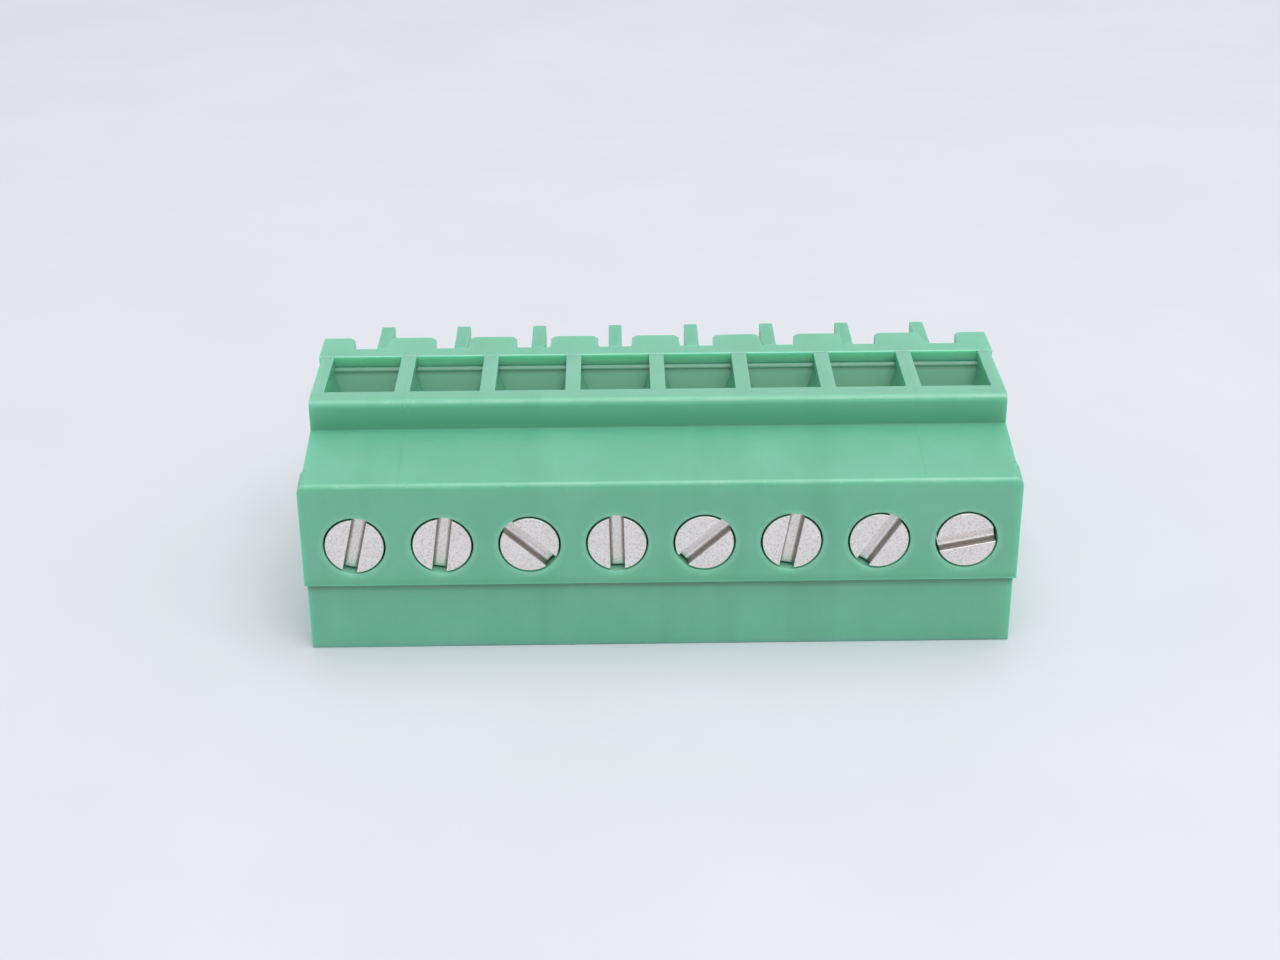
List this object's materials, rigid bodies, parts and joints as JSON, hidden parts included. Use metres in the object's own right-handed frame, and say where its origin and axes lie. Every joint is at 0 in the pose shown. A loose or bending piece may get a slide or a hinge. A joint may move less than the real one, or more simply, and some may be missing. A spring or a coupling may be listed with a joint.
{
  "type": "pluggable terminal block",
  "caption": "Angled pluggable screw terminal block: a row of slotted clamp screws in front, wire entries on top and a coded plug at the back for a pin header.",
  "frame": {"origin": "on the surface the block lies on, under the middle of its overall box", "axes": "+X along the row of poles, +Y from the screw heads towards the header, +Z from the base towards the wire entries"},
  "size_m": [0.0312, 0.0184, 0.0104],
  "materials": {
    "housing_green": "moulded green polyamide, satin, faint flow lines",
    "plug_green": "moulded green polyamide, satin",
    "screw_nickel": "dull nickel plate with a fine speckle",
    "cage_zinc": "zinc plate",
    "contact_tin": "tin plate"
  },
  "bodies": {
    "block": {"terminal_housing": "housing_green", "plug_body": "plug_green", "contact_1": "contact_tin", "contact_2": "contact_tin", "contact_3": "contact_tin", "contact_4": "contact_tin", "contact_5": "contact_tin", "contact_6": "contact_tin", "contact_7": "contact_tin", "contact_8": "contact_tin"},
    "screw_1": {"clamp_screw_1": "screw_nickel"},
    "cage_1": {"clamp_cage_1": "cage_zinc"},
    "screw_2": {"clamp_screw_2": "screw_nickel"},
    "cage_2": {"clamp_cage_2": "cage_zinc"},
    "screw_3": {"clamp_screw_3": "screw_nickel"},
    "cage_3": {"clamp_cage_3": "cage_zinc"},
    "screw_4": {"clamp_screw_4": "screw_nickel"},
    "cage_4": {"clamp_cage_4": "cage_zinc"},
    "screw_5": {"clamp_screw_5": "screw_nickel"},
    "cage_5": {"clamp_cage_5": "cage_zinc"},
    "screw_6": {"clamp_screw_6": "screw_nickel"},
    "cage_6": {"clamp_cage_6": "cage_zinc"},
    "screw_7": {"clamp_screw_7": "screw_nickel"},
    "cage_7": {"clamp_cage_7": "cage_zinc"},
    "screw_8": {"clamp_screw_8": "screw_nickel"},
    "cage_8": {"clamp_cage_8": "cage_zinc"}
  },
  "joints": [
    {"name": "screw_1_turn", "type": "hinge", "parent": "block", "child": "screw_1", "pos_m": [-0.01333, -0.0076, 0.00529], "axis": [0, 1, 0], "range_deg": [0, 1980]},
    {"name": "cage_1_lift", "type": "slide", "parent": "block", "child": "cage_1", "axis": [0, -1, 0], "range_m": [0, 0.0022]},
    {"name": "screw_2_turn", "type": "hinge", "parent": "block", "child": "screw_2", "pos_m": [-0.00953, -0.0076, 0.00529], "axis": [0, 1, 0], "range_deg": [0, 1980]},
    {"name": "cage_2_lift", "type": "slide", "parent": "block", "child": "cage_2", "axis": [0, -1, 0], "range_m": [0, 0.0022]},
    {"name": "screw_3_turn", "type": "hinge", "parent": "block", "child": "screw_3", "pos_m": [-0.00571, -0.0076, 0.00529], "axis": [0, 1, 0], "range_deg": [0, 1980]},
    {"name": "cage_3_lift", "type": "slide", "parent": "block", "child": "cage_3", "axis": [0, -1, 0], "range_m": [0, 0.0022]},
    {"name": "screw_4_turn", "type": "hinge", "parent": "block", "child": "screw_4", "pos_m": [-0.00191, -0.0076, 0.00529], "axis": [0, 1, 0], "range_deg": [0, 1980]},
    {"name": "cage_4_lift", "type": "slide", "parent": "block", "child": "cage_4", "axis": [0, -1, 0], "range_m": [0, 0.0022]},
    {"name": "screw_5_turn", "type": "hinge", "parent": "block", "child": "screw_5", "pos_m": [0.00191, -0.0076, 0.00529], "axis": [0, 1, 0], "range_deg": [0, 1980]},
    {"name": "cage_5_lift", "type": "slide", "parent": "block", "child": "cage_5", "axis": [0, -1, 0], "range_m": [0, 0.0022]},
    {"name": "screw_6_turn", "type": "hinge", "parent": "block", "child": "screw_6", "pos_m": [0.00571, -0.0076, 0.00529], "axis": [0, 1, 0], "range_deg": [0, 1980]},
    {"name": "cage_6_lift", "type": "slide", "parent": "block", "child": "cage_6", "axis": [0, -1, 0], "range_m": [0, 0.0022]},
    {"name": "screw_7_turn", "type": "hinge", "parent": "block", "child": "screw_7", "pos_m": [0.00953, -0.0076, 0.00529], "axis": [0, 1, 0], "range_deg": [0, 1980]},
    {"name": "cage_7_lift", "type": "slide", "parent": "block", "child": "cage_7", "axis": [0, -1, 0], "range_m": [0, 0.0022]},
    {"name": "screw_8_turn", "type": "hinge", "parent": "block", "child": "screw_8", "pos_m": [0.01333, -0.0076, 0.00529], "axis": [0, 1, 0], "range_deg": [0, 1980]},
    {"name": "cage_8_lift", "type": "slide", "parent": "block", "child": "cage_8", "axis": [0, -1, 0], "range_m": [0, 0.0022]}
  ],
  "couplings": [
    {"joint": "screw_1_turn", "follows": "cage_1_lift", "rad_per_m": 15708},
    {"joint": "screw_2_turn", "follows": "cage_2_lift", "rad_per_m": 15708},
    {"joint": "screw_3_turn", "follows": "cage_3_lift", "rad_per_m": 15708},
    {"joint": "screw_4_turn", "follows": "cage_4_lift", "rad_per_m": 15708},
    {"joint": "screw_5_turn", "follows": "cage_5_lift", "rad_per_m": 15708},
    {"joint": "screw_6_turn", "follows": "cage_6_lift", "rad_per_m": 15708},
    {"joint": "screw_7_turn", "follows": "cage_7_lift", "rad_per_m": 15708},
    {"joint": "screw_8_turn", "follows": "cage_8_lift", "rad_per_m": 15708}
  ]
}
